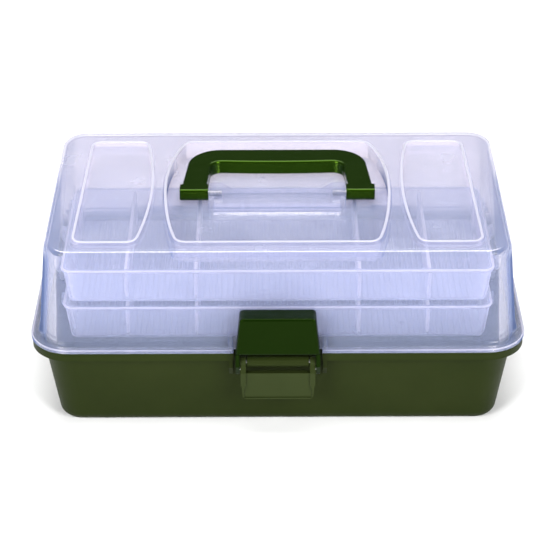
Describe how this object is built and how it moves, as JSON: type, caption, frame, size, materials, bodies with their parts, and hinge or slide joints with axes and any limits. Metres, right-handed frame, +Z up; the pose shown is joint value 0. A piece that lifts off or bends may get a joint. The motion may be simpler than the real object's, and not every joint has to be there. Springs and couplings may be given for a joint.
{
  "type": "fishing tackle box",
  "caption": "Moulded fishing tackle box with a green base, see-through lid, cantilever trays, folding handle and toggle latch.",
  "frame": {"origin": "centre of the base's flat bottom face, under the middle of the box", "axes": "+X to the right seen from the latch side, +Y to the rear hinges, +Z up"},
  "size_m": [0.33, 0.2113, 0.135],
  "materials": {
    "base_green": "fine moulded grain",
    "lid_clear": "natural, milky and see-through",
    "handle_green": "gloss",
    "latch_green": "satin",
    "tray_clear": "natural, milky and see-through",
    "arm_plastic": "satin",
    "pin_steel": "satin"
  },
  "bodies": {
    "base": {"base_tub": "base_green", "hinge_pin_left": "pin_steel", "hinge_pin_right": "pin_steel", "latch_lever_pin": "pin_steel", "base_arm_rivets": "pin_steel"},
    "lid": {"lid_shell": "lid_clear", "lid_link_rivets": "pin_steel", "handle_pivot_pins": "pin_steel"},
    "handle": {"carry_handle": "handle_green"},
    "latch_lever": {"latch_lever": "latch_green"},
    "latch_hook": {"latch_hook": "latch_green", "latch_hook_pins": "pin_steel"},
    "front_arms": {"front_arm_left": "arm_plastic", "front_arm_right": "arm_plastic", "arm_link_pins": "pin_steel"},
    "rear_arms": {"rear_arm_left": "arm_plastic", "rear_arm_right": "arm_plastic"},
    "lid_links": {"lid_link_left": "arm_plastic", "lid_link_right": "arm_plastic"},
    "lower_tray": {"lower_tray": "tray_clear", "lower_tray_rivets": "pin_steel"},
    "upper_tray": {"upper_tray": "tray_clear", "upper_tray_rivets": "pin_steel"}
  },
  "joints": [
    {"name": "lid_hinge", "type": "hinge", "parent": "base", "child": "lid", "pos_m": [0, 0.103, 0.062], "axis": [-1, 0, 0], "range_deg": [0, 100]},
    {"name": "front_arms_swing", "type": "hinge", "parent": "base", "child": "front_arms", "pos_m": [0, 0.0268, 0.049], "axis": [-1, 0, 0], "range_deg": [0, 80]},
    {"name": "rear_arms_swing", "type": "hinge", "parent": "base", "child": "rear_arms", "pos_m": [0, 0.0688, 0.049], "axis": [-1, 0, 0], "range_deg": [0, 80]},
    {"name": "lower_tray_turn", "type": "hinge", "parent": "front_arms", "child": "lower_tray", "pos_m": [0, -0.0116, 0.077], "axis": [-1, 0, 0], "range_deg": [-80, 0]},
    {"name": "upper_tray_turn", "type": "hinge", "parent": "front_arms", "child": "upper_tray", "pos_m": [0, -0.05, 0.105], "axis": [-1, 0, 0], "range_deg": [-80, 0]},
    {"name": "lid_links_turn", "type": "hinge", "parent": "lid", "child": "lid_links", "pos_m": [0, 0.076, 0.0766], "axis": [-1, 0, 0], "range_deg": [-100, 0]},
    {"name": "handle_turn", "type": "hinge", "parent": "lid", "child": "handle", "pos_m": [0, 0.0053, 0.128], "axis": [1, 0, 0], "range_deg": [0, 90]},
    {"name": "latch_lever_turn", "type": "hinge", "parent": "base", "child": "latch_lever", "pos_m": [0, -0.099, 0.0578], "axis": [-1, 0, 0], "range_deg": [0, 100]},
    {"name": "latch_hook_turn", "type": "hinge", "parent": "latch_lever", "child": "latch_hook", "pos_m": [0, -0.0985, 0.052], "axis": [-1, 0, 0], "range_deg": [-125, 0]}
  ],
  "couplings": [
    {"joint": "front_arms_swing", "follows": "lid_hinge", "ratio": 0.8},
    {"joint": "rear_arms_swing", "follows": "lid_hinge", "ratio": 0.8},
    {"joint": "lower_tray_turn", "follows": "lid_hinge", "ratio": -0.8},
    {"joint": "upper_tray_turn", "follows": "lid_hinge", "ratio": -0.8},
    {"joint": "lid_links_turn", "follows": "lid_hinge", "ratio": -1},
    {"joint": "latch_hook_turn", "follows": "latch_lever_turn", "ratio": -1.25}
  ]
}
